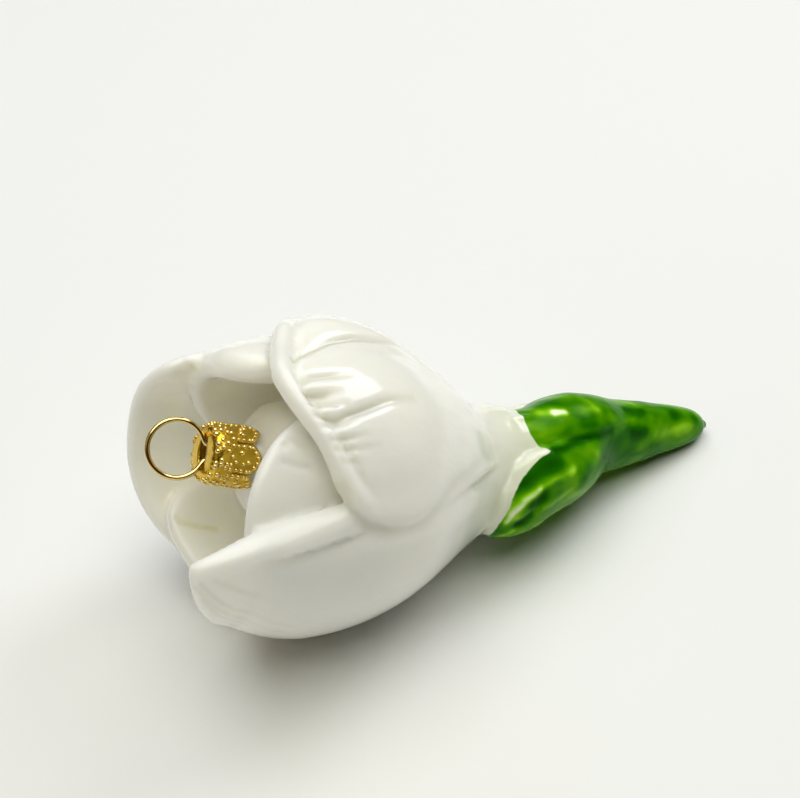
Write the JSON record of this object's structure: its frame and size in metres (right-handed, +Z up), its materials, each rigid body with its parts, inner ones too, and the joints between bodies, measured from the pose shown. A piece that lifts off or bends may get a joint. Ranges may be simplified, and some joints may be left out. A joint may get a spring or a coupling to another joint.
{
  "type": "glass crocus flower ornament",
  "caption": "Hanging ornament in the form of a half-open crocus flower lying on its side: white petals, a tapering green stem, and a gold crown cap with a wire loop in the flower's mouth.",
  "frame": {"origin": "middle of the bounding box's underside, on the surface that the ornament lies on", "axes": "+X from the flower's mouth to the stem's tip, +Z up, -Y toward the side that the viewer of the picture sees"},
  "size_m": [0.1214, 0.0542, 0.0563],
  "materials": {
    "lacquered_glass": "opaque pearl white lacquer on the petals, glossy mottled green lacquer on the stem and sepals",
    "gold_cap": "thin stamped sheet, bright gold plating, hammered all over",
    "gold_wire": "round spring wire, bright gold plating"
  },
  "bodies": {
    "root": {"glass_flower": "lacquered_glass", "crown_cap": "gold_cap", "wire_hanger": "gold_wire"}
  },
  "joints": []
}
